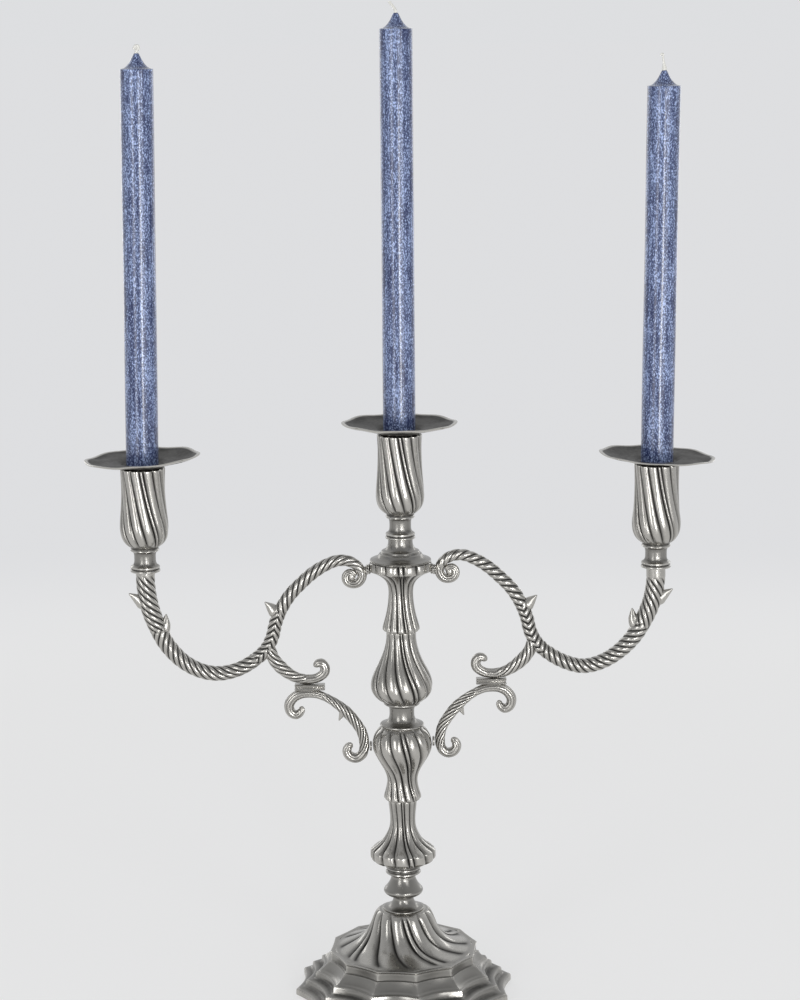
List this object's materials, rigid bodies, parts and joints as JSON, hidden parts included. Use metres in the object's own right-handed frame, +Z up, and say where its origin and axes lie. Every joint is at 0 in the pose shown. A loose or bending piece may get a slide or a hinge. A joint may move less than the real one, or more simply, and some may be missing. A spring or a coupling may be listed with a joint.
{
  "type": "candelabra",
  "caption": "Table candelabra in satin pewter: swirl-fluted stem on a stepped foot, rope-twist scroll arms, fluted sockets with loose drip pans and blue dinner candles.",
  "frame": {"origin": "on the table surface, under the stem's axis", "axes": "+Z up along the stem, X along the line of the arms with +X to the right, the front faces -Y"},
  "size_m": [0.4236, 0.15, 0.6782],
  "materials": {
    "pewter": "satin",
    "steel": "satin",
    "wax": "gloss",
    "wick": "matte"
  },
  "bodies": {
    "frame": {"foot_plinth": "pewter", "foot_dome": "pewter", "foot_spool": "pewter", "lower_trumpet": "pewter", "lower_baluster": "pewter", "waist_collar": "pewter", "upper_baluster": "pewter", "upper_trumpet": "pewter", "pedestal": "pewter", "tie_rod": "steel", "foot_washer": "steel", "foot_nut": "steel", "socket_centre": "pewter", "socket_left": "pewter", "socket_right": "pewter", "arm_left": "pewter", "bracket_left": "pewter", "clasp_left": "pewter", "disc_peg_left": "pewter", "pad_peg_left": "pewter", "stud_left": "steel", "arm_right": "pewter", "bracket_right": "pewter", "clasp_right": "pewter", "disc_peg_right": "pewter", "pad_peg_right": "pewter", "stud_right": "steel"},
    "pan_centre": {"pan_centre": "pewter"},
    "pan_left": {"pan_left": "pewter"},
    "pan_right": {"pan_right": "pewter"},
    "candle_centre": {"candle_centre": "wax", "wick_centre": "wick"},
    "candle_left": {"candle_left": "wax", "wick_left": "wick"},
    "candle_right": {"candle_right": "wax", "wick_right": "wick"}
  },
  "joints": [
    {"name": "pan_lift_centre", "type": "slide", "parent": "frame", "child": "pan_centre", "axis": [0, 0, 1], "range_m": [0, 0.036]},
    {"name": "candle_lift_centre", "type": "slide", "parent": "pan_centre", "child": "candle_centre", "axis": [0, 0, 1], "range_m": [0, 0.036]},
    {"name": "pan_lift_left", "type": "slide", "parent": "frame", "child": "pan_left", "axis": [0, 0, 1], "range_m": [0, 0.036]},
    {"name": "candle_lift_left", "type": "slide", "parent": "pan_left", "child": "candle_left", "axis": [0, 0, 1], "range_m": [0, 0.036]},
    {"name": "pan_lift_right", "type": "slide", "parent": "frame", "child": "pan_right", "axis": [0, 0, 1], "range_m": [0, 0.036]},
    {"name": "candle_lift_right", "type": "slide", "parent": "pan_right", "child": "candle_right", "axis": [0, 0, 1], "range_m": [0, 0.036]}
  ]
}
